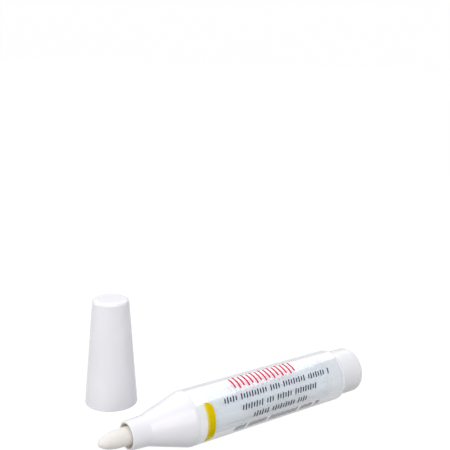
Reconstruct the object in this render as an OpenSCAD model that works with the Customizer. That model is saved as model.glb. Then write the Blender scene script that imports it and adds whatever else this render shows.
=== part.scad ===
// Nail oil pen: a clear barrel with a valve-fed felt nib, and its cap standing beside it.
// Millimetres. The pen lies along X with its nib towards -X, on the plane z = 0.

/* [Barrel] */
// Outer diameter of the clear barrel, and of the front section's collar
barrel_d = 15.5; // [14:0.1:20]
// Wall of the barrel
barrel_wall = 1.3; // [0.8:0.05:1.6]
// Length of the barrel behind the seam with the front section
barrel_len = 54.05; // [35:0.05:90]
// Rounding of the barrel's tail edge
barrel_edge = 0.9; // [0.2:0.05:1]

/* [Front section] */
// Diameter of the nozzle at its mouth
mouth_d = 7.78; // [7.5:0.02:8.2]
// Diameter of the nozzle where the cone starts
nozzle_d = 8.36; // [8.2:0.02:9]
// Length of the nozzle in front of the cone
nozzle_len = 5.4; // [4.5:0.05:8]
// Length of the cone, shoulder included
cone_len = 11.95; // [9:0.05:16]
// Straight collar between the shoulder and the barrel
collar_len = 0.75; // [0.4:0.05:3]
// Radius that blends the nozzle into the cone
kink_blend = 2; // [1:0.1:6]
// Radius that rounds the shoulder into the collar
shoulder_blend = 4; // [1:0.1:4.4]
// Rounding of the mouth's lip
lip_edge = 0.22; // [0.05:0.01:0.3]
// Diameter of the bore that the nib carrier slides in
guide_d = 6.74; // [6.4:0.02:6.9]
// Diameter of the valve chamber behind that bore
chamber_d = 9.2; // [8.6:0.1:10]
// Depth of the valve chamber in front of the seam
chamber_depth = 4.5; // [3.5:0.1:5.5]
// Length of the spigot that plugs into the barrel
spigot_len = 4.2; // [3:0.1:7]
// Height of the sealing beads on the spigots
bead_h = 0.18; // [0.05:0.01:0.3]
// Depth of the relief between a spigot and the barrel's bore
spigot_relief = 0.22; // [0.1:0.01:0.4]

/* [Nib] */
// Diameter of the felt nib
nib_d = 4.9; // [3.8:0.1:5.2]
// Length of the nib in front of the mouth
nib_reach = 8.3; // [5:0.05:9]
// Length of the nib's bullet point
bullet_len = 6.5; // [3:0.1:7]
// How far the nib presses in to open the valve
nib_travel = 1.5; // [0.5:0.1:1.8]
// Length of the carrier's cup
carrier_len = 6.5; // [4:0.1:8]
// Floor between the carrier's cup and its stem
carrier_floor = 1; // [0.6:0.1:1.5]
// Number of oil grooves along the outside of the carrier
carrier_grooves = 4; // [3:1:6]
// Depth of a groove in the carrier
groove_depth = 0.35; // [0.1:0.05:0.5]
// Width of a groove in the carrier
groove_w = 0.9; // [0.4:0.1:1.4]

/* [Valve] */
// Diameter of the stem between the carrier and the valve head
stem_d = 2.2; // [1.6:0.1:2.4]
// Thickness of the valve seat's ring
seat_t = 1.5; // [1:0.1:2]
// Diameter of the hole in the seat
seat_hole_d = 3.2; // [2.8:0.1:3.6]
// Thickness of the rubber seal on the seat
seal_t = 0.6; // [0.4:0.05:1]
// Diameter of the valve head's disc
head_d = 5.2; // [4.6:0.1:5.6]
// Thickness of the valve head's disc
head_t = 1; // [0.6:0.1:1.4]
// Length of the boss that centres the spring
boss_len = 1.5; // [1:0.1:1.8]
// Wall of that boss round the stem
boss_wall = 0.3; // [0.2:0.05:0.4]
// Wire of the return spring
wire_d = 0.36; // [0.2:0.02:0.4]
// Working turns of the return spring
spring_turns = 4; // [3:0.5:5]
// Wall of the valve cage
cage_wall = 0.8; // [0.6:0.1:1]
// Floor of the valve cage
cage_floor = 1; // [0.6:0.1:1.4]
// Number of flow slots in the cage's side
cage_slots = 6; // [3:1:8]
// Width of a flow slot
slot_w = 1.2; // [0.6:0.1:1.4]

/* [Tail plug] */
// Length of the plug behind the barrel
plug_len = 8.6; // [5:0.1:12]
// Step from the barrel's outside down to the plug's
plug_step = 0.93; // [0.9:0.01:1.4]
// Rounding of the plug's end
plug_edge = 1.5; // [0.4:0.1:2]
// Wall of the plug's end
plug_end_wall = 1.2; // [0.8:0.1:1.6]
// Wall of the plug's spigot
plug_wall = 0.6; // [0.5:0.05:0.8]
// Length of the plug's spigot inside the barrel
plug_spigot = 2.2; // [2:0.1:6]

/* [Oil] */
// Share of the bore's radius that the oil stands above the pen's axis
oil_level_share = 0.6; // [0:0.05:0.8]

/* [Cap] */
// Height of the cap
cap_h = 32.8; // [31:0.1:38]
// Diameter of the cap at its rim
cap_rim_d = 15.84; // [15.4:0.02:16.4]
// Diameter of the cap at its top, before the edge is rounded
cap_top_d = 10.9; // [10.6:0.1:13]
// Wall of the cap
cap_wall = 1; // [0.8:0.05:1.1]
// Thickness of the cap's top
cap_top = 1.2; // [0.8:0.1:2]
// Rounding of the cap's top edge
cap_edge = 1.1; // [0.4:0.1:1.6]
// Rounding of the cap's rim
rim_edge = 0.25; // [0.1:0.05:0.3]
// Height of the inner sleeve's mouth above the rim
sleeve_z = 9.4; // [8:0.1:10.5]
// Wall of the inner sleeve
sleeve_wall = 0.7; // [0.5:0.05:0.8]
// Depth of the bore that closes round the nozzle
sleeve_grip = 5.5; // [4.5:0.1:6.5]
// Number of ribs that centre the sleeve in the cap
sleeve_ribs = 6; // [4:1:8]
// Thickness of a rib on the sleeve
rib_t = 0.7; // [0.5:0.1:1]
// Distance from the pen's axis to the cap's axis
cap_gap = 35.3; // [20:0.1:60]
// Place of the cap along the pen, in front of the seam
cap_ahead = 3.26; // [0:0.01:40]

/* [Hidden] */

// Clearances
fixed_clear = 0.02;
slide_clear = 0.07;
stem_clear = 0.02;
sleeve_clear = 0.07;
face_clear = 0.02;
stop_clear = 0.05;
overrun = 1;

// Facets: round faces are exact, arcs in an outline take a few steps
round_fn = 96;
arc_steps = 7;

// Radii of the pen
barrel_r = barrel_d / 2;
bore_r = barrel_r - barrel_wall;
mouth_r = mouth_d / 2;
nozzle_r = nozzle_d / 2;
guide_r = guide_d / 2;
chamber_r = chamber_d / 2;
nib_r = nib_d / 2;
stem_r = stem_d / 2;
head_r = head_d / 2;
plug_r = barrel_r - plug_step;
plug_bore_r = bore_r - spigot_relief - plug_wall;

// Stations along the pen, with 0 at the seam and the nib at the low end
cone_z = -collar_len - cone_len;
mouth_z = cone_z - nozzle_len;
nib_tip_z = mouth_z - nib_reach;
chamber_z = -chamber_depth;
carrier_end_z = chamber_z - nib_travel - stop_clear;
carrier_z = carrier_end_z - carrier_len;
nib_end_z = carrier_end_z - carrier_floor;
seal_z = chamber_z + seat_t;
head_z = seal_z + seal_t;
boss_z = head_z + head_t;
boss_end_z = boss_z + boss_len;
cage_end_z = spigot_len - face_clear;
cage_floor_z = cage_end_z - cage_floor;
plug_spigot_z = barrel_len - plug_spigot;
plug_end_z = barrel_len + plug_len;
plug_cup_z = plug_end_z - plug_end_wall;
bead_shares = [0.3, 0.7];

// Angle of the cone, and the largest blend that the collar has room for
cone_turn = atan2(barrel_r - nozzle_r, cone_len);
shoulder_r = min(shoulder_blend, (collar_len - 2 * face_clear) / tan(cone_turn / 2));

// Valve
boss_r = stem_r + boss_wall;
boss_roof = boss_wall;
cage_r = chamber_r - fixed_clear;
cage_bore_r = cage_r - cage_wall;
spring_r = boss_r + stem_clear + wire_d;
spring_z = boss_z + face_clear + wire_d / 2;
spring_end_z = cage_floor_z - face_clear - wire_d / 2;
spring_sides = 8;
spring_rings = 14;
dead_turns = 0.75;
dead_pitch_share = 1.2;
dead_rise = wire_d * dead_pitch_share * dead_turns;
all_turns = spring_turns + 2 * dead_turns;
drain_r = spring_r - wire_d;

// Cap, on its own axis with 0 at the rim
cap_rim_r = cap_rim_d / 2;
cap_top_r = cap_top_d / 2;
cap_roof_z = cap_h - cap_top;
nib_room = 1.5;
sleeve_step_z = sleeve_z + sleeve_grip;
sleeve_bore_r = nozzle_r + sleeve_clear;
sleeve_r = sleeve_bore_r + sleeve_wall;
tip_bore_r = nib_r + 2 * sleeve_wall;
// Height at which the cap's rim meets the cone, worked back to where the nib's tip then lies
rim_on_cone = cone_len * (cap_rim_r - cap_wall - nozzle_r) / (barrel_r - nozzle_r);
tip_in_cap_z = rim_on_cone + nozzle_len + nib_reach;
sleeve_roof_z = tip_in_cap_z + nib_room;
sleeve_end_z = sleeve_roof_z + cap_top;
rib_len = 4 * sleeve_wall;

// Place of the pen and the cap, with the origin at the middle of the base
pen_x = -(nib_tip_z + plug_end_z) / 2;
row_w = barrel_r + cap_gap + cap_rim_r;
pen_y = barrel_r - row_w / 2;
cap_x = pen_x - cap_ahead;
cap_y = pen_y + cap_gap;

// Outer radius of the cap, and of its hollow, at a height
function cap_r_at(z) = cap_rim_r + (cap_top_r - cap_rim_r) * z / cap_h;
function hollow_r_at(z) = cap_r_at(z) - cap_wall;
// Unit vector along v
function unit(v) = v / norm(v);
// Turn from angle a to angle b, the short way round
function turn(a, b) = b - a > 180 ? b - a - 360 : b - a < -180 ? b - a + 360 : b - a;
// Arc of radius r that replaces corner b of the path from a to c
function corner(a, b, c, r) = r == 0 ? [b] :
    let (u = unit(a - b), v = unit(c - b), half = acos(u * v) / 2)
    let (m = b + unit(u + v) * r / sin(half), p = b + u * r / tan(half), q = b + v * r / tan(half))
    let (start = atan2(p.y - m.y, p.x - m.x), sweep = turn(start, atan2(q.y - m.y, q.x - m.x)))
    [for (i = [0 : arc_steps]) let (angle = start + sweep * i / arc_steps) m + r * [cos(angle), sin(angle)]];
// First two numbers of a corner
function place(p) = [p[0], p[1]];
// Outline whose corners are [radius, height, rounding]
function rounded(corners) = let (n = len(corners))
    [for (i = [0 : n - 1]) each corner(place(corners[(i + n - 1) % n]), place(corners[i]),
        place(corners[(i + 1) % n]), corners[i][2])];

// Solid turned from an outline of [radius, height, rounding] corners
module turned(corners) {
    rotate_extrude($fn = round_fn) polygon(rounded(corners));
}

// Pen axis: local Z runs from the nib to the tail
module on_pen() {
    translate([pen_x, pen_y, barrel_r]) rotate([0, 90, 0]) children();
}

// Cap axis: local Z runs from the rim to the top
module on_cap() {
    translate([cap_x, cap_y, 0]) children();
}

// Ring with a rounded outer face, which seals a spigot in the barrel
module bead(z) {
    translate([0, 0, z]) turned([
        [bore_r - spigot_relief - bead_h, -2 * bead_h, 0],
        [bore_r - spigot_relief, -2 * bead_h, 0],
        [bore_r - fixed_clear, -bead_h / 2, 0],
        [bore_r - fixed_clear, bead_h / 2, 0],
        [bore_r - spigot_relief, 2 * bead_h, 0],
        [bore_r - spigot_relief - bead_h, 2 * bead_h, 0]]);
}

// Nozzle, cone, collar and spigot in one moulding, bored for the carrier and the valve
module front_section() color("white") on_pen() {
    difference() {
        union() {
            turned([
                [0, mouth_z, 0],
                [mouth_r, mouth_z, lip_edge],
                [nozzle_r, cone_z, kink_blend],
                [barrel_r, -collar_len, shoulder_r],
                [barrel_r, -face_clear, 0],
                [bore_r - spigot_relief, -face_clear, 0],
                [bore_r - spigot_relief, spigot_len, spigot_relief],
                [0, spigot_len, 0]]);
            for (share = bead_shares) bead(spigot_len * share);
        }
        translate([0, 0, mouth_z - overrun]) cylinder(h = overrun - mouth_z, r = guide_r, $fn = round_fn);
        translate([0, 0, chamber_z])
            cylinder(h = spigot_len - chamber_z + overrun, r = chamber_r, $fn = round_fn);
    }
}

// Clear tube, drawn in over the end plug at its tail
module barrel() color([0.8, 0.85, 0.9, 0.5]) on_pen() {
    difference() {
        turned([
            [0, 0, 0],
            [barrel_r, 0, 0],
            [barrel_r, barrel_len, barrel_edge],
            [0, barrel_len, 0]]);
        translate([0, 0, -overrun]) cylinder(h = barrel_len + 2 * overrun, r = bore_r, $fn = round_fn);
    }
}

// Hollow plug: a spigot with sealing beads, and a rounded cup behind the barrel
module end_plug() color("whitesmoke") on_pen() {
    difference() {
        union() {
            turned([
                [0, plug_spigot_z, 0],
                [bore_r - spigot_relief, plug_spigot_z, spigot_relief],
                [bore_r - spigot_relief, barrel_len + face_clear, 0],
                [plug_r, barrel_len + face_clear, 0],
                [plug_r, plug_end_z, plug_edge],
                [0, plug_end_z, 0]]);
            for (share = bead_shares) bead(plug_spigot_z + plug_spigot * share);
        }
        turned([
            [0, plug_spigot_z - overrun, 0],
            [plug_bore_r, plug_spigot_z - overrun, 0],
            [plug_bore_r, plug_cup_z, plug_edge / 2],
            [0, plug_cup_z, 0]]);
    }
}

// Oil lying in the barrel and in the plug's cup, level when the pen lies on its side
module oil_fill() color([0.97, 0.95, 0.88, 0.6]) on_pen() {
    oil_r = bore_r - fixed_clear;
    cup_r = plug_bore_r - fixed_clear;
    difference() {
        union() {
            translate([0, 0, spigot_len + face_clear])
                cylinder(h = plug_spigot_z - spigot_len - 2 * face_clear, r = oil_r, $fn = round_fn);
            translate([0, 0, plug_spigot_z - 2 * face_clear])
                cylinder(h = plug_cup_z - plug_edge / 2 - plug_spigot_z, r = cup_r, $fn = round_fn);
        }
        translate([-barrel_d - bore_r * oil_level_share, -barrel_r, -overrun])
            cube([barrel_d, barrel_d, plug_end_z + overrun]);
    }
}

// Felt bullet nib, its rear end seated in the carrier's cup
module nib() color("ivory") on_pen() {
    nose_steps = 14;
    rotate_extrude($fn = round_fn) polygon([
        for (i = [0 : nose_steps]) let (angle = 90 * i / nose_steps)
            [nib_r * sin(angle), nib_tip_z + bullet_len * (1 - cos(angle))],
        [nib_r, nib_end_z - face_clear],
        [0, nib_end_z - face_clear]]);
}

// Cup that holds the nib and slides in the nozzle, with oil grooves and the valve's stem
module nib_carrier() color("tan") on_pen() {
    carrier_r = guide_r - slide_clear;
    difference() {
        translate([0, 0, carrier_z]) cylinder(h = carrier_len, r = carrier_r, $fn = round_fn);
        translate([0, 0, carrier_z - overrun])
            cylinder(h = nib_end_z - carrier_z + overrun, r = nib_r + fixed_clear, $fn = round_fn);
        for (i = [0 : carrier_grooves - 1]) rotate([0, 0, 360 * (i + 0.5) / carrier_grooves])
            translate([carrier_r - groove_depth, -groove_w / 2, carrier_z - overrun])
                cube([overrun, groove_w, carrier_len + 2 * overrun]);
    }
    translate([0, 0, carrier_end_z])
        cylinder(h = boss_end_z - boss_roof - face_clear - carrier_end_z, r = stem_r, $fn = round_fn);
}

// Disc that closes on the seal, with a boss that takes the stem and centres the spring
module valve_head() color("silver") on_pen() {
    difference() {
        turned([
            [0, head_z + face_clear, 0],
            [head_r, head_z + face_clear, 0],
            [head_r, boss_z, head_t / 4],
            [boss_r, boss_z, 0],
            [boss_r, boss_end_z, boss_wall],
            [0, boss_end_z, 0]]);
        translate([0, 0, head_z - overrun])
            cylinder(h = boss_end_z - boss_roof - head_z + overrun, r = stem_r + stem_clear, $fn = round_fn);
    }
}

// Ring pressed against the step at the front of the chamber
module valve_seat() color("gainsboro") on_pen() {
    difference() {
        translate([0, 0, chamber_z]) cylinder(h = seat_t, r = chamber_r - fixed_clear, $fn = round_fn);
        translate([0, 0, chamber_z - overrun])
            cylinder(h = seat_t + 2 * overrun, r = seat_hole_d / 2, $fn = round_fn);
    }
}

// Rubber washer between the seat and the cage, which the head closes on
module valve_seal() color("dimgray") on_pen() {
    difference() {
        translate([0, 0, seal_z]) cylinder(h = seal_t, r = chamber_r - fixed_clear, $fn = round_fn);
        translate([0, 0, seal_z - overrun])
            cylinder(h = seal_t + 2 * overrun, r = seat_hole_d / 2, $fn = round_fn);
    }
}

// Height of the spring's wire after t turns: close end coils, even turns between them
function spring_z_at(t) = t < dead_turns ? spring_z + dead_rise * t / dead_turns
    : t > all_turns - dead_turns ? spring_end_z - dead_rise * (all_turns - t) / dead_turns
    : spring_z + dead_rise + (spring_end_z - spring_z - 2 * dead_rise) * (t - dead_turns) / spring_turns;
// Point on the wire's skin, numbered round the wire by side
function spring_point(t, side) = let (a = 360 * side / spring_sides, r = spring_r + cos(a) * wire_d / 2)
    [r * cos(360 * t), r * sin(360 * t), spring_z_at(t) + sin(a) * wire_d / 2];

// Return spring between the head and the cage's floor
module valve_spring() color("silver") on_pen() {
    rings = ceil(all_turns * spring_rings);
    points = [for (i = [0 : rings], s = [0 : spring_sides - 1]) spring_point(all_turns * i / rings, s)];
    sides = [for (i = [0 : rings - 1], s = [0 : spring_sides - 1])
        let (a = i * spring_sides + s, b = i * spring_sides + (s + 1) % spring_sides)
        each [[a, b, b + spring_sides], [a, b + spring_sides, a + spring_sides]]];
    first_end = [for (s = [spring_sides - 1 : -1 : 0]) s];
    last_end = [for (s = [0 : spring_sides - 1]) rings * spring_sides + s];
    polyhedron(points, concat(sides, [first_end, last_end]));
}

// Cup that clamps the seal and backs the spring, slotted so that oil reaches the valve
module valve_cage() color("lightgray") on_pen() {
    difference() {
        translate([0, 0, head_z]) cylinder(h = cage_end_z - head_z, r = cage_r, $fn = round_fn);
        translate([0, 0, head_z - overrun])
            cylinder(h = cage_floor_z - head_z + overrun, r = cage_bore_r, $fn = round_fn);
        translate([0, 0, cage_floor_z - overrun])
            cylinder(h = cage_floor + 2 * overrun, r = drain_r, $fn = round_fn);
        for (i = [0 : cage_slots - 1]) rotate([0, 0, 360 * i / cage_slots])
            translate([spring_r + wire_d, -slot_w / 2, boss_z])
                cube([chamber_r, slot_w, cage_end_z - boss_z + overrun]);
    }
}

// Tapered shell with a flat, rounded top and an open mouth
module cap_shell() color("white") on_cap() {
    difference() {
        turned([
            [0, 0, 0],
            [cap_rim_r, 0, rim_edge],
            [cap_top_r, cap_h, cap_edge],
            [0, cap_h, 0]]);
        translate([0, 0, -overrun]) cylinder(h = cap_roof_z + overrun, r1 = hollow_r_at(-overrun),
            r2 = hollow_r_at(cap_roof_z), $fn = round_fn);
    }
}

// Inner sleeve: it closes round the nozzle and keeps the nib from drying
module cap_sleeve() color("whitesmoke") on_cap() {
    difference() {
        union() {
            intersection() {
                translate([0, 0, sleeve_z])
                    cylinder(h = sleeve_end_z - sleeve_z, r = sleeve_r, $fn = round_fn);
                cylinder(h = cap_h, r1 = hollow_r_at(0) - fixed_clear,
                    r2 = hollow_r_at(cap_h) - fixed_clear, $fn = round_fn);
            }
            for (i = [0 : sleeve_ribs - 1]) rotate([90, 0, 360 * i / sleeve_ribs])
                translate([0, 0, -rib_t / 2]) linear_extrude(rib_t) polygon([
                    [sleeve_bore_r + fixed_clear, sleeve_z + rib_len],
                    [sleeve_r, sleeve_z + rib_len],
                    [hollow_r_at(sleeve_z + 2 * rib_len) - fixed_clear, sleeve_z + 2 * rib_len],
                    [hollow_r_at(sleeve_end_z) - fixed_clear, sleeve_end_z],
                    [sleeve_bore_r + fixed_clear, sleeve_end_z]]);
        }
        translate([0, 0, sleeve_z - overrun])
            cylinder(h = sleeve_grip + overrun, r = sleeve_bore_r, $fn = round_fn);
        translate([0, 0, sleeve_z])
            cylinder(h = sleeve_roof_z - sleeve_z, r = tip_bore_r, $fn = round_fn);
    }
}

front_section();
barrel();
end_plug();
oil_fill();
nib();
nib_carrier();
valve_head();
valve_seat();
valve_seal();
valve_spring();
valve_cage();
cap_shell();
cap_sleeve();
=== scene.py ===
"""Nail oil pen: materials, generic print, floor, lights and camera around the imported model."""

import math

import bmesh
import bpy
from mathutils import Matrix, Vector


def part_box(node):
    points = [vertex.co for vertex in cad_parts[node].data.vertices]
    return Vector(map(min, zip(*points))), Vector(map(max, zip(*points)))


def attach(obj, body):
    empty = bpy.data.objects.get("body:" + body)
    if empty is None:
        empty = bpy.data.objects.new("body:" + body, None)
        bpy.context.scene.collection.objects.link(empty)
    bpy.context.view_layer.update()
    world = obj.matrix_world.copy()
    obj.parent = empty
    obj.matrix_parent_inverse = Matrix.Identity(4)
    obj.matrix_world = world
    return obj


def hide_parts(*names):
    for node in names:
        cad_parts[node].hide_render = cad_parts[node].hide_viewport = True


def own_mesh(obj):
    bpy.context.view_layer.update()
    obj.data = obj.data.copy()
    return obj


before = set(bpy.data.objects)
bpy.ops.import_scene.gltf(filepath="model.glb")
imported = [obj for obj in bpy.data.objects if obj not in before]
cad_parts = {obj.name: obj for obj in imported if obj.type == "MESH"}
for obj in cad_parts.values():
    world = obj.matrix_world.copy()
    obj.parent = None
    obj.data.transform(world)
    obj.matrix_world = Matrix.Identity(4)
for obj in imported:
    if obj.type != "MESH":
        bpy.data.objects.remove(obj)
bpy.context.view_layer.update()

MM = 0.001

# Places that the rest follows, from the frame
barrel_low, barrel_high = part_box("barrel")
carrier_low, carrier_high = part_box("nib_carrier")
AXIS_Y = (barrel_low.y + barrel_high.y) / 2
AXIS_Z = (barrel_low.z + barrel_high.z) / 2
BARREL_R = (barrel_high.z - barrel_low.z) / 2
SEAM_X = barrel_low.x
RIM_X = barrel_high.x
SPIGOT_END_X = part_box("front_section")[1].x
PLUG_START_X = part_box("end_plug")[0].x

# Bore that the nib's carrier slides in, with the clearance round it
CARRIER_PLAY = 0.1 * MM
NIB_BORE_R = (carrier_high.z - carrier_low.z) / 2 + CARRIER_PLAY

# Camera, fitted to the photograph
CAM_AT = Vector((-131.585, -185.06, 107.75)) * MM
CAM_YAW = math.radians(36.885)
CAM_PITCH = math.radians(12.743)
CAM_ROLL = math.radians(-1.454)
CAM_LENS = 64.24
CAM_SENSOR = 36
CAM_NEAR = 1 * MM
CAM_FAR = 20


def placing(across, up, back, at):
    """Matrix that puts an object at a point, turned to three directions square to each other."""
    return Matrix((
        (across.x, up.x, back.x, at.x),
        (across.y, up.y, back.y, at.y),
        (across.z, up.z, back.z, at.z),
        (0, 0, 0, 1)))


def add_camera():
    data = bpy.data.cameras.new("camera")
    data.lens = CAM_LENS
    data.sensor_width = CAM_SENSOR
    data.clip_start = CAM_NEAR
    data.clip_end = CAM_FAR
    forward = Vector((
        math.sin(CAM_YAW) * math.cos(CAM_PITCH),
        math.cos(CAM_YAW) * math.cos(CAM_PITCH),
        -math.sin(CAM_PITCH)))
    level = Vector((math.cos(CAM_YAW), -math.sin(CAM_YAW), 0))
    plumb = forward.cross(level)
    right = math.cos(CAM_ROLL) * level + math.sin(CAM_ROLL) * plumb
    down = -math.sin(CAM_ROLL) * level + math.cos(CAM_ROLL) * plumb
    camera = bpy.data.objects.new("camera", data)
    camera.matrix_world = placing(right, -down, -forward, CAM_AT)
    bpy.context.collection.objects.link(camera)
    bpy.context.scene.camera = camera


# Range that a noise texture's values mostly stay in
NOISE_LOW = 0.3
NOISE_HIGH = 0.7

# Places of a Mix node's sockets for colours, whose names its other types share
MIX_FACTOR = 0
MIX_UNDER = 6
MIX_OVER = 7
MIX_RESULT = 2


class Shader:
    """A Principled material and short calls that wire nodes into it."""

    def __init__(self, name, **sockets):
        self.material = bpy.data.materials.new(name)
        self.material.use_nodes = True
        self.nodes = self.material.node_tree.nodes
        self.links = self.material.node_tree.links
        self.main = self.nodes["Principled BSDF"]
        self.coords = self.nodes.new("ShaderNodeTexCoord").outputs["Object"]
        for socket, value in sockets.items():
            self.main.inputs[socket.replace("_", " ")].default_value = value

    def noise(self, scale, detail=3, stretch=None):
        """Noise whose features are scale metres apart, its coordinates multiplied by stretch."""
        at = self.coords
        if stretch:
            mapping = self.nodes.new("ShaderNodeMapping")
            mapping.inputs["Scale"].default_value = stretch
            self.links.new(at, mapping.inputs["Vector"])
            at = mapping.outputs["Vector"]
        node = self.nodes.new("ShaderNodeTexNoise")
        node.inputs["Scale"].default_value = 1 / scale
        node.inputs["Detail"].default_value = detail
        self.links.new(at, node.inputs["Vector"])
        return node.outputs["Fac"]

    def spread(self, factor, low, high):
        """Maps a noise onto low to high."""
        node = self.nodes.new("ShaderNodeMapRange")
        node.inputs["From Min"].default_value = NOISE_LOW
        node.inputs["From Max"].default_value = NOISE_HIGH
        node.inputs["To Min"].default_value = low
        node.inputs["To Max"].default_value = high
        self.links.new(factor, node.inputs["Value"])
        return node.outputs["Result"]

    def mottle(self, factor, dark, light):
        """Colour that drifts between dark and light with a noise."""
        node = self.nodes.new("ShaderNodeValToRGB")
        first, last = node.color_ramp.elements
        first.position = NOISE_LOW
        first.color = (*dark, 1)
        last.position = NOISE_HIGH
        last.color = (*light, 1)
        self.links.new(factor, node.inputs["Fac"])
        return node.outputs["Color"]

    def step(self, value, start, end, low=0.0, high=1.0):
        """Smooth step from low at start to high at end; low and high are numbers or outputs."""
        node = self.nodes.new("ShaderNodeMapRange")
        node.interpolation_type = "SMOOTHSTEP"
        node.inputs["From Min"].default_value = start
        node.inputs["From Max"].default_value = end
        for socket, to in (("To Min", low), ("To Max", high)):
            if isinstance(to, (int, float)):
                node.inputs[socket].default_value = to
            else:
                self.links.new(to, node.inputs[socket])
        self.links.new(value, node.inputs["Value"])
        return node.outputs["Result"]

    def fade(self, mask, outside, inside):
        """Number or output that is outside where the mask is 0 and inside where it is 1."""
        return self.step(mask, 0, 1, outside, inside)

    def along(self, axis):
        """Coordinate of the surface along one axis, in metres."""
        node = self.nodes.new("ShaderNodeSeparateXYZ")
        self.links.new(self.coords, node.inputs["Vector"])
        return node.outputs[axis]

    def from_axis(self):
        """Distance of the surface from the pen's axis, in metres."""
        flat = self.nodes.new("ShaderNodeVectorMath")
        flat.operation = "MULTIPLY_ADD"
        flat.inputs[1].default_value = (0, 1, 1)
        flat.inputs[2].default_value = (0, -AXIS_Y, -AXIS_Z)
        self.links.new(self.coords, flat.inputs[0])
        node = self.nodes.new("ShaderNodeVectorMath")
        node.operation = "LENGTH"
        self.links.new(flat.outputs["Vector"], node.inputs[0])
        return node.outputs["Value"]

    def facing(self):
        """0 where the surface is seen square on, 1 where it is seen edge on."""
        return self.nodes.new("ShaderNodeLayerWeight").outputs["Facing"]

    def shadow_ray(self):
        """1 for rays on their way to a lamp."""
        return self.nodes.new("ShaderNodeLightPath").outputs["Is Shadow Ray"]

    def mix(self, mask, under, over):
        """Colour over laid on the output under by a mask."""
        node = self.nodes.new("ShaderNodeMix")
        node.data_type = "RGBA"
        node.inputs[MIX_OVER].default_value = (*over, 1)
        self.links.new(mask, node.inputs[MIX_FACTOR])
        self.links.new(under, node.inputs[MIX_UNDER])
        return node.outputs[MIX_RESULT]

    def colour(self, output):
        self.links.new(output, self.main.inputs["Base Color"])

    def roughness(self, output):
        self.links.new(output, self.main.inputs["Roughness"])

    def alpha(self, output):
        self.links.new(output, self.main.inputs["Alpha"])

    def bump(self, height, depth):
        node = self.nodes.new("ShaderNodeBump")
        node.inputs["Distance"].default_value = depth
        node.inputs["Strength"].default_value = 1.0
        self.links.new(height, node.inputs["Height"])
        self.links.new(node.outputs["Normal"], self.main.inputs["Normal"])


# Mouldings. A tone gives the darkest and the lightest colour that a material drifts between.
# Oil stain in the nib's bore, warmed with painted bounce light from the felt
OIL_STAIN_AND_BOUNCE = (0.93, 0.84, 0.70)
STAIN_AND_BOUNCE_EDGE = 0.15 * MM
PEN_WHITE = ((0.84, 0.83, 0.86), (0.88, 0.87, 0.90))
CAP_WHITE = ((0.83, 0.82, 0.85), (0.87, 0.86, 0.89))
INNER_GREY = ((0.70, 0.70, 0.71), (0.76, 0.76, 0.77))
CARRIER_TAN = ((0.64, 0.55, 0.40), (0.70, 0.61, 0.46))
THIN_WALL = {"Subsurface_Weight": 0.08, "Subsurface_Scale": 1.5 * MM}
MILKY = {"Subsurface_Weight": 0.6, "Subsurface_Radius": (1, 1, 1), "Subsurface_Scale": 2.5 * MM}


def moulded(name, dark, light, gloss=(0.16, 0.24), stain_and_bounce_r=None, **sockets):
    """Moulded plastic: slow drift of tone, uneven polish within gloss, and a faint sink.

    Surfaces within the given radius of the pen's axis carry an oil stain, tinted with painted warm bounce
    light from the felt.
    """
    s = Shader(name, **sockets)
    tone = s.mottle(s.noise(9 * MM), dark, light)
    if stain_and_bounce_r:
        stain_and_bounce = s.step(s.from_axis(), stain_and_bounce_r, stain_and_bounce_r + STAIN_AND_BOUNCE_EDGE, 1.0, 0.0)
        tone = s.mix(stain_and_bounce, tone, OIL_STAIN_AND_BOUNCE)
    s.colour(tone)
    s.roughness(s.spread(s.noise(1.2 * MM, 5), *gloss))
    s.bump(s.noise(3.5 * MM, 2), 0.012 * MM)
    return s.material


# Clear tube: where each zone's soft edge starts and ends, and the Alpha there
SPIGOT_EDGE = (SPIGOT_END_X - 0.2 * MM, SPIGOT_END_X + 0.1 * MM)
PLUG_HAZE_EDGE = (PLUG_START_X - 6.5 * MM, PLUG_START_X - 2.5 * MM)
PLUG_EDGE = (PLUG_START_X - 0.4 * MM, PLUG_START_X + 0.2 * MM)
RIM_EDGE = (RIM_X - 1.5 * MM, RIM_X - 1 * MM)
EDGE_ON_FACING = (0.35, 0.62)
TUBE_ALPHA = 0.42
SPIGOT_ALPHA = 0.9
PLUG_ALPHA = 0.75
EDGE_ON_ALPHA = 0.85
LAMP_ALPHA = 0.03

# Clear tube: its tone, and the colour laid over it in each zone
TUBE_TONE = ((0.72, 0.77, 0.81), (0.75, 0.80, 0.84))
PLUG_HAZE_COLOUR = (0.74, 0.79, 0.84)
PLUG_COLOUR = (0.60, 0.66, 0.72)
# Near-white painted on the tube over the spigot: painted light that covers the spigot's shade under the
# yellow mark
SPIGOT_COLOUR = (0.96, 0.97, 1.0)
# White of the tube's end, also painted where the tube is seen edge on as a painted reflection
TUBE_WHITE = (0.92, 0.92, 0.95)


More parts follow.
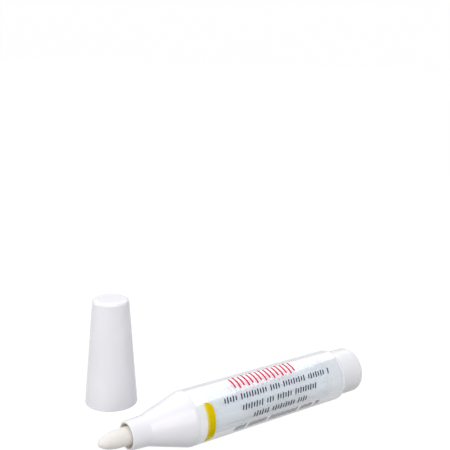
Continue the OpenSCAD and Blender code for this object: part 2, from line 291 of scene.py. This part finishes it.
def clear_tube():
    """Tube that is denser where one looks along its wall, with white painted there as a painted reflection.
    Over the spigot it is painted near-white, painted light over the spigot's shade; elsewhere it takes its
    tone from what it covers.
    """
    s = Shader("clear_tube", IOR=3.5, Coat_Weight=1.0, Coat_IOR=3.0, Coat_Roughness=0.07)
    x = s.along("X")
    over_spigot = s.step(x, *SPIGOT_EDGE, 1.0, 0.0)
    near_plug = s.step(x, *PLUG_HAZE_EDGE)
    over_plug = s.step(x, *PLUG_EDGE)
    rim = s.step(x, *RIM_EDGE)
    # Edge-on mask: the tube is painted white there, a painted reflection
    edge_on = s.step(s.facing(), *EDGE_ON_FACING)
    tone = s.mottle(s.noise(12 * MM), *TUBE_TONE)
    # The spigot's near-white is painted light; the edge-on white is a painted reflection
    for mask, over in ((near_plug, PLUG_HAZE_COLOUR), (over_plug, PLUG_COLOUR), (rim, TUBE_WHITE),
                       (over_spigot, SPIGOT_COLOUR), (edge_on, TUBE_WHITE)):
        tone = s.mix(mask, tone, over)
    s.colour(tone)
    alpha = TUBE_ALPHA
    for mask, inside in ((over_spigot, SPIGOT_ALPHA), (near_plug, PLUG_ALPHA), (edge_on, EDGE_ON_ALPHA),
                         (s.shadow_ray(), LAMP_ALPHA)):
        alpha = s.fade(mask, alpha, inside)
    s.alpha(alpha)
    s.roughness(s.spread(s.noise(5 * MM, 2), 0.09, 0.11))
    s.bump(s.noise(9 * MM, 2), 0.0006 * MM)
    return s.material


# Other materials
FELT_TONE = ((0.78, 0.75, 0.71), (0.85, 0.82, 0.79))
OIL_TONE = ((0.73, 0.78, 0.83), (0.77, 0.82, 0.86))
WIRE_TONE = ((0.55, 0.55, 0.56), (0.70, 0.70, 0.70))
RUBBER_TONE = ((0.03, 0.03, 0.03), (0.06, 0.06, 0.06))
RED_TONE = ((0.62, 0.035, 0.075), (0.76, 0.06, 0.11))
SLATE_TONE = ((0.03, 0.04, 0.07), (0.05, 0.062, 0.1))
YELLOW_TONE = ((0.68, 0.50, 0.002), (0.76, 0.57, 0.004))

# The felt's fibres run along the nib
FIBRE_ALONG = (0.35, 1, 1)

# The yellow ink is painted paler along its side to the nib, a painted highlight, and towards its lower end,
# painted light
YELLOW_SHEEN_EDGE = (SEAM_X + 2.4 * MM, SEAM_X + 3.4 * MM)
YELLOW_LIT_FOOT_EDGE = (AXIS_Z - 4.6 * MM, AXIS_Z - 2.6 * MM)
YELLOW_SHEEN_COLOUR = (0.84, 0.70, 0.10)
YELLOW_LIT_FOOT_COLOUR = (0.94, 0.80, 0.14)


def felt():
    s = Shader("felt", Subsurface_Weight=0.6, Subsurface_Radius=(1, 0.9, 0.8),
               Subsurface_Scale=1.8 * MM, Sheen_Weight=0.25, Sheen_Roughness=0.5)
    fibre = s.noise(0.16 * MM, 4, stretch=FIBRE_ALONG)
    s.colour(s.mottle(fibre, *FELT_TONE))
    s.roughness(s.spread(s.noise(0.4 * MM), 0.55, 0.8))
    s.bump(fibre, 0.012 * MM)
    return s.material


def oil():
    s = Shader("oil", Specular_IOR_Level=0.1, Subsurface_Weight=0.5, Subsurface_Radius=(1, 1, 1),
               Subsurface_Scale=2 * MM)
    s.colour(s.mottle(s.noise(14 * MM), *OIL_TONE))
    s.roughness(s.spread(s.noise(6 * MM), 0.25, 0.4))
    return s.material


def drawn_wire():
    s = Shader("drawn_wire", Metallic=1.0)
    s.colour(s.mottle(s.noise(0.5 * MM), *WIRE_TONE))
    s.roughness(s.spread(s.noise(0.2 * MM), 0.2, 0.35))
    return s.material


def rubber():
    s = Shader("rubber")
    s.colour(s.mottle(s.noise(0.6 * MM), *RUBBER_TONE))
    s.roughness(s.spread(s.noise(0.4 * MM), 0.6, 0.8))
    return s.material


def ink(name, dark, light, painted_light_edges=()):
    """Printed ink without a gloss of its own. Optional rows of (axis, start, end, colour) give its edges
    painted paler as painted light.
    """
    s = Shader(name, Specular_IOR_Level=0.0)
    tone = s.mottle(s.noise(0.3 * MM, 4), dark, light)
    for axis, start, end, over in painted_light_edges:
        tone = s.mix(s.step(s.along(axis), start, end, 1.0, 0.0), tone, over)
    s.colour(tone)
    s.roughness(s.spread(s.noise(0.5 * MM), 0.3, 0.45))
    return s.material


def dress_nodes():
    section = moulded("section_moulding", *PEN_WHITE, stain_and_bounce_r=NIB_BORE_R, Coat_Weight=0.3, Coat_Roughness=0.12,
                      **THIN_WALL)
    plug = moulded("plug_moulding", *PEN_WHITE, Coat_Weight=0.3, Coat_Roughness=0.05, **MILKY)
    cap = moulded("cap_moulding", *CAP_WHITE, gloss=(0.14, 0.22), Coat_Weight=0.5, Coat_Roughness=0.03,
                  **THIN_WALL)
    inner = moulded("inner_moulding", *INNER_GREY, gloss=(0.3, 0.45))
    tan = moulded("carrier_moulding", *CARRIER_TAN, gloss=(0.35, 0.5))
    looks = {
        "front_section": section,
        "barrel": clear_tube(),
        "end_plug": plug,
        "oil_fill": oil(),
        "nib": felt(),
        "nib_carrier": tan,
        "valve_head": inner,
        "valve_seat": inner,
        "valve_seal": rubber(),
        "valve_spring": drawn_wire(),
        "valve_cage": inner,
        "cap_shell": cap,
        "cap_sleeve": inner}
    for node, look in looks.items():
        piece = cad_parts[node]
        if not piece.material_slots:
            piece.data.materials.append(look)
        for slot in piece.material_slots:
            slot.material = look


def add_spring():
    """The valve spring as a piece of its own with its own mesh, in the pen's body, in place of its rigid
    node, which is hidden.
    """
    spring = bpy.data.objects.new("return_spring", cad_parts["valve_spring"].data.copy())
    bpy.context.collection.objects.link(spring)
    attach(spring, "pen")
    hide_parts("valve_spring")
    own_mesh(spring)


# Print on the barrel. Angles are above the front, seen square to the pen.
INK_T = 0.012 * MM
INK_SINK = 0.004 * MM
ARC_STEP = math.radians(1.5)
FEWEST_STEPS = 6
SHORT_BAR = 0.78
SLATE_BAR = {"width": 0.43, "pitch": 0.96, "lean": 0.25}


def wrapped(name, outline, look):
    """Film of ink wrapped on the barrel. Outline gives (angle, low x, high x) rows."""
    mesh = bmesh.new()
    layers = []
    for radius in (BARREL_R - INK_SINK, BARREL_R + INK_T):
        layer = []
        for angle, low, high in outline:
            y = AXIS_Y - radius * math.cos(angle)
            z = AXIS_Z + radius * math.sin(angle)
            layer.append([mesh.verts.new((x, y, z)) for x in (low, high)])
        layers.append(layer)
    inner, outer = layers
    for i in range(len(outline) - 1):
        mesh.faces.new((outer[i][0], outer[i][1], outer[i + 1][1], outer[i + 1][0]))
        mesh.faces.new((inner[i][1], inner[i][0], inner[i + 1][0], inner[i + 1][1]))
        mesh.faces.new((inner[i][0], outer[i][0], outer[i + 1][0], inner[i + 1][0]))
        mesh.faces.new((outer[i][1], inner[i][1], inner[i + 1][1], outer[i + 1][1]))
    mesh.faces.new((inner[0][0], inner[0][1], outer[0][1], outer[0][0]))
    mesh.faces.new((outer[-1][0], outer[-1][1], inner[-1][1], inner[-1][0]))
    bmesh.ops.recalc_face_normals(mesh, faces=mesh.faces)
    data = bpy.data.meshes.new(name)
    mesh.to_mesh(data)
    mesh.free()
    data.materials.append(look)
    piece = bpy.data.objects.new(name, data)
    bpy.context.collection.objects.link(piece)
    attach(piece, "pen")
    return piece


def cut_back(edge, corner):
    """How far a rounded corner draws the outline in, at a distance edge from the bar's end."""
    if edge >= corner:
        return 0
    return corner - math.sqrt(max(0, corner ** 2 - (corner - edge) ** 2))


def stroke_rows(x, angle, length, height, corners, lean=0.0):
    """Rows of a bar that is length along the pen and height round it, leaning by lean.

    The two corner roundings are those on the nib's side and on the tail's side.
    """
    steps = max(FEWEST_STEPS, math.ceil(height / BARREL_R / ARC_STEP))
    rows = []
    for i in range(steps + 1):
        up = height * (0.5 - 0.5 * math.cos(math.pi * i / steps))
        edge = min(up, height - up)
        off_middle = up - height / 2
        middle = x + lean * off_middle
        low = middle - length / 2 + cut_back(edge, corners[0])
        high = middle + length / 2 - cut_back(edge, corners[1])
        rows.append((angle + off_middle / BARREL_R, low, high))
    return rows


def join_pieces(pieces, name):
    """Makes one piece out of several that share a body and a look."""
    with bpy.context.temp_override(active_object=pieces[0], object=pieces[0], selected_objects=pieces,
                                   selected_editable_objects=pieces):
        bpy.ops.object.join()
    pieces[0].name = name


def bar_row(name, look, degrees, start, run, height, groups, width, pitch, lean):
    """Row of leaning plain bars, every other one short, with a gap after each of the groups.

    Lengths are in mm. The row begins at start, measured from the seam, and is run long.
    """
    bars = []
    x = start
    group = 0
    left = groups[0]
    while x < start + run:
        tall = height * (1 if len(bars) % 2 else SHORT_BAR)
        corner = width / 2 * MM
        rows = stroke_rows(SEAM_X + x * MM, math.radians(degrees), width * MM, tall * MM,
                           (corner, corner), lean)
        bars.append(wrapped(f"{name}_{len(bars)}", rows, look))
        x += pitch
        left -= 1
        if left == 0:
            group += 1
            left = groups[group % len(groups)]
            x += pitch
    join_pieces(bars, name)


def add_print():
    red = ink("red_ink", *RED_TONE)
    slate = ink("slate_ink", *SLATE_TONE)
    # Paler yellow edges: painted highlight at the nib side, painted light at the lower end
    painted_light_edges = (("X", *YELLOW_SHEEN_EDGE, YELLOW_SHEEN_COLOUR), ("Z", *YELLOW_LIT_FOOT_EDGE, YELLOW_LIT_FOOT_COLOUR))
    yellow = ink("yellow_ink", *YELLOW_TONE, painted_light_edges)
    band = stroke_rows(x=SEAM_X + 3.7 * MM, angle=math.radians(4), length=2.6 * MM, height=12.1 * MM,
                       corners=(0.15 * MM, 2 * MM))
    wrapped("yellow_mark", band, yellow)
    bar_row("red_row", red, degrees=76, start=14.6, run=22.0, height=5.2, groups=(40,),
            width=0.62, pitch=1.55, lean=0.05)
    for name, degrees, start, run, height, groups in (
            ("slate_row_1", 40, 9.2, 38.6, 1.8, (5, 10, 4, 9, 7)),
            ("slate_row_2", 17, 14.6, 27.6, 1.8, (8, 3, 6, 9)),
            ("slate_row_3", -4.5, 18.4, 20.4, 1.8, (6, 9, 4)),
            ("slate_row_4", -29, 12.6, 31.2, 2.2, (4, 7, 11, 5))):
        bar_row(name, slate, degrees, start, run, height, groups, **SLATE_BAR)


# Studio. The overhead softbox ends on the right where the barrel's reflection of it ends.
OVERHEAD_RIGHT = 0.152
OVERHEAD_AWAY = 0.195
OVERHEAD_UP = 0.2
OVERHEAD_WIDE = 0.42
LAMP_TARGET = (0, 0, 0.02)
WALL_R = 4
WALL_H = 1.1
WALL_SIDES = 96
FLOOR_GREY = 0.38
FLOOR_MIRRORED = 0.63
WALL_GREY = 0.33
WALL_MIRRORED = 0.69
STUDIO_GLOW = 1.155
STUDIO_GLOW_SHARE = 0.85
WORLD_COLOUR = (0.93, 0.94, 1.0)
WORLD_LIGHT = 0.45
WORLD_MIRRORED = 0.75


def combine(tree, operation, first, second):
    """Math node on an output and a second one, which may also be a number."""
    node = tree.nodes.new("ShaderNodeMath")
    node.operation = operation
    tree.links.new(first, node.inputs[0])
    if isinstance(second, (int, float)):
        node.inputs[1].default_value = second
    else:
        tree.links.new(second, node.inputs[1])
    return node.outputs[0]


def studio_white(name, grey, mirrored):
    """Grey that the camera and clear surfaces see mostly as white light, and gloss by the share mirrored."""
    look = bpy.data.materials.new(name)
    look.use_nodes = True
    tree = look.node_tree
    diffuse = tree.nodes["Principled BSDF"]
    diffuse.inputs["Base Color"].default_value = (grey, grey, grey, 1)
    diffuse.inputs["Roughness"].default_value = 0.6
    diffuse.inputs["Specular IOR Level"].default_value = 0.1
    glow = tree.nodes.new("ShaderNodeEmission")
    glow.inputs["Color"].default_value = (1, 1, 1, 1)
    glow.inputs["Strength"].default_value = STUDIO_GLOW
    ray = tree.nodes.new("ShaderNodeLightPath").outputs
    gloss = combine(tree, "MULTIPLY", ray["Is Glossy Ray"], mirrored)
    seen = combine(tree, "MAXIMUM", ray["Is Camera Ray"], gloss)
    seen = combine(tree, "MAXIMUM", seen, ray["Is Transmission Ray"])
    share = combine(tree, "MULTIPLY", seen, STUDIO_GLOW_SHARE)
    mix = tree.nodes.new("ShaderNodeMixShader")
    tree.links.new(share, mix.inputs[0])
    tree.links.new(diffuse.outputs[0], mix.inputs[1])
    tree.links.new(glow.outputs[0], mix.inputs[2])
    tree.links.new(mix.outputs[0], tree.nodes["Material Output"].inputs["Surface"])
    return look


def add_stage():
    """White floor with a white wall all round it."""
    bpy.ops.mesh.primitive_circle_add(vertices=WALL_SIDES, radius=WALL_R, fill_type="NGON",
                                      location=(0, 0, 0))
    bpy.context.object.name = "floor"
    bpy.context.object.data.materials.append(studio_white("floor_white", FLOOR_GREY, FLOOR_MIRRORED))
    bpy.ops.mesh.primitive_cylinder_add(vertices=WALL_SIDES, radius=WALL_R, depth=WALL_H,
                                        end_fill_type="NOTHING", location=(0, 0, WALL_H / 2))
    bpy.context.object.name = "wall"
    bpy.context.object.data.materials.append(studio_white("wall_white", WALL_GREY, WALL_MIRRORED))


def add_world():
    """Fill light from all round. Gloss sees it about as bright as it sees the wall."""
    world = bpy.data.worlds.new("studio")
    bpy.context.scene.world = world
    world.use_nodes = True
    nodes = world.node_tree.nodes
    links = world.node_tree.links
    fill = nodes["Background"]
    fill.inputs["Color"].default_value = (*WORLD_COLOUR, 1)
    level = nodes.new("ShaderNodeMapRange")
    level.inputs["To Min"].default_value = WORLD_LIGHT
    level.inputs["To Max"].default_value = WORLD_MIRRORED
    links.new(nodes.new("ShaderNodeLightPath").outputs["Is Glossy Ray"], level.inputs["Value"])
    links.new(level.outputs["Result"], fill.inputs["Strength"])


def studio_point(right, away, up):
    """Point in the photographer's own directions: to the right, away from the camera and up."""
    return Vector((
        right * math.cos(CAM_YAW) + away * math.sin(CAM_YAW),
        -right * math.sin(CAM_YAW) + away * math.cos(CAM_YAW),
        up))


def add_softbox(name, middle, facing, wide, tall, radiance):
    """Rectangle of even radiance, wide across the view and tall the other way, facing a point."""
    data = bpy.data.lights.new(name, "AREA")
    data.shape = "RECTANGLE"
    data.size = wide
    data.size_y = tall
    data.energy = radiance * math.pi * wide * tall
    lamp = bpy.data.objects.new(name, data)
    at = studio_point(*middle)
    back = (at - studio_point(*facing)).normalized()
    up = back.cross(studio_point(1, 0, 0)).normalized()
    lamp.matrix_world = placing(up.cross(back), up, back, at)
    bpy.context.collection.objects.link(lamp)


def add_lights():
    overhead = (OVERHEAD_RIGHT - OVERHEAD_WIDE / 2, OVERHEAD_AWAY)
    add_softbox("overhead", (*overhead, OVERHEAD_UP), (*overhead, 0), OVERHEAD_WIDE, tall=0.45, radiance=0.86)
    add_softbox("left", (-0.6, -0.1, 0.2), LAMP_TARGET, wide=0.4, tall=0.35, radiance=2.0)
    add_softbox("front", (0.05, -0.75, 0.5), LAMP_TARGET, wide=1.3, tall=0.9, radiance=1.85)


add_camera()
dress_nodes()
add_spring()
add_print()
add_stage()
add_world()
add_lights()
bpy.context.scene.view_settings.view_transform = "Standard"
